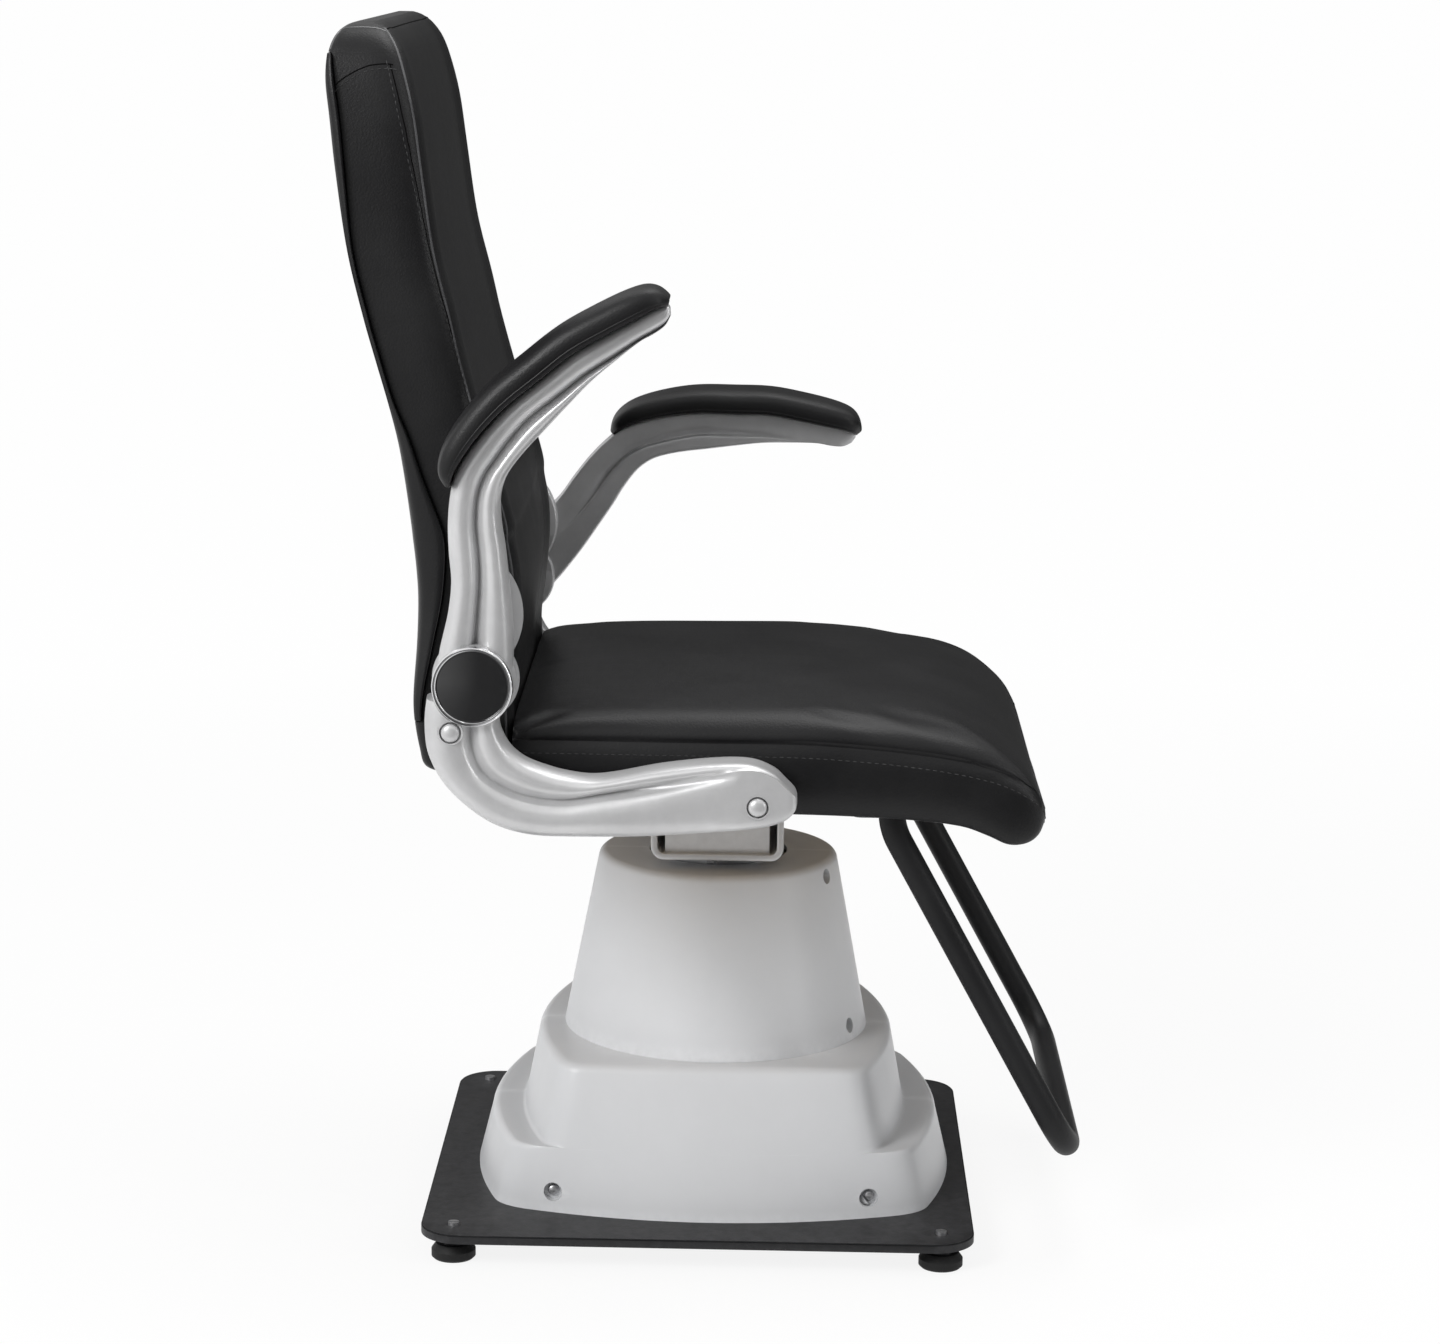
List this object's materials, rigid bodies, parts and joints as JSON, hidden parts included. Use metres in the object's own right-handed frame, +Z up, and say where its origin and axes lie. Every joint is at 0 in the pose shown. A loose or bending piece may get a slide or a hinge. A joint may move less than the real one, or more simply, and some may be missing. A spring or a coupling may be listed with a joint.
{
  "type": "ophthalmic examination chair",
  "caption": "Electric examination chair with a padded seat and back on a swivelling lift column, flip-up padded armrests and a tube footrest on a square floor plate.",
  "frame": {"origin": "on the floor, on the lift column's axis", "axes": "+X the way the sitter faces, +Y to the left of the sitter, +Z up; the right side of the chair is at -Y"},
  "size_m": [0.6777, 0.6382, 1.105],
  "materials": {
    "plate_paint": "satin",
    "cover_plastic": "satin",
    "zinc_steel": "satin",
    "wear_plastic": "satin",
    "box_plastic": "matte",
    "foot_rubber": "matte",
    "polished_steel": "polished",
    "bronze": "satin",
    "silver_paint": "satin",
    "silver_cast": "satin",
    "plywood": "matte",
    "black_leather": "satin",
    "cap_plastic": "gloss"
  },
  "bodies": {
    "base": {"base_plate": "plate_paint", "base_cover_right": "cover_plastic", "base_cover_left": "cover_plastic", "base_cover_screws": "zinc_steel", "column_cover_right": "cover_plastic", "column_cover_left": "cover_plastic", "column_cover_screws": "zinc_steel", "cover_brackets": "zinc_steel", "guide_column": "plate_paint", "flange_bolts": "zinc_steel", "guide_liner": "wear_plastic", "actuator_housing": "plate_paint", "actuator_lug": "zinc_steel", "actuator_lower_pin": "zinc_steel", "control_box": "box_plastic", "power_inlet": "box_plastic"},
    "foot_front_right": {"foot_pad_front_right": "foot_rubber", "foot_stud_front_right": "zinc_steel"},
    "foot_front_left": {"foot_pad_front_left": "foot_rubber", "foot_stud_front_left": "zinc_steel"},
    "foot_rear_right": {"foot_pad_rear_right": "foot_rubber", "foot_stud_rear_right": "zinc_steel"},
    "foot_rear_left": {"foot_pad_rear_left": "foot_rubber", "foot_stud_rear_left": "zinc_steel"},
    "lift": {"lift_column": "polished_steel", "slide_ring": "wear_plastic", "lift_head": "zinc_steel", "swivel_bearing": "polished_steel", "thrust_washer": "bronze", "actuator_rod": "polished_steel", "actuator_upper_pin": "zinc_steel"},
    "armrest_right": {"arm_right": "silver_cast", "arm_pad_right": "black_leather", "pivot_ring_right": "polished_steel", "pivot_cap_right": "cap_plastic"},
    "armrest_left": {"arm_left": "silver_cast", "arm_pad_left": "black_leather", "pivot_ring_left": "polished_steel", "pivot_cap_left": "cap_plastic"},
    "seat": {"swivel_spindle": "zinc_steel", "spindle_fasteners": "zinc_steel", "swivel_bracket": "silver_paint", "bracket_panels": "silver_paint", "seat_plate": "plate_paint", "seat_screws": "zinc_steel", "seat_board": "plywood", "seat_cushion": "black_leather", "cross_bars": "zinc_steel", "footrest": "plate_paint", "back_board": "plywood", "back_cushion": "black_leather", "back_rear_cover": "black_leather", "arm_bracket_right": "silver_cast", "arm_bracket_left": "silver_cast", "bracket_spacers": "zinc_steel", "bracket_bolts": "silver_cast", "pivot_pins": "zinc_steel", "hinge_cheek_right": "silver_cast", "hinge_cheek_left": "silver_cast"}
  },
  "joints": [
    {"name": "foot_front_right_level", "type": "slide", "parent": "base", "child": "foot_front_right", "axis": [0, 0, -1], "range_m": [0, 0.01]},
    {"name": "foot_front_left_level", "type": "slide", "parent": "base", "child": "foot_front_left", "axis": [0, 0, -1], "range_m": [0, 0.01]},
    {"name": "foot_rear_right_level", "type": "slide", "parent": "base", "child": "foot_rear_right", "axis": [0, 0, -1], "range_m": [0, 0.01]},
    {"name": "foot_rear_left_level", "type": "slide", "parent": "base", "child": "foot_rear_left", "axis": [0, 0, -1], "range_m": [0, 0.01]},
    {"name": "seat_lift", "type": "slide", "parent": "base", "child": "lift", "axis": [0, 0, 1], "range_m": [0, 0.18]},
    {"name": "seat_swivel", "type": "hinge", "parent": "lift", "child": "seat", "pos_m": [0, 0, 0.34], "axis": [0, 0, 1], "continuous": true},
    {"name": "right_arm_flip", "type": "hinge", "parent": "seat", "child": "armrest_right", "pos_m": [-0.209, -0.281, 0.542], "axis": [0, -1, 0], "range_deg": [-40, 50]},
    {"name": "left_arm_flip", "type": "hinge", "parent": "seat", "child": "armrest_left", "pos_m": [-0.209, 0.281, 0.542], "axis": [0, -1, 0], "range_deg": [0, 90]}
  ]
}
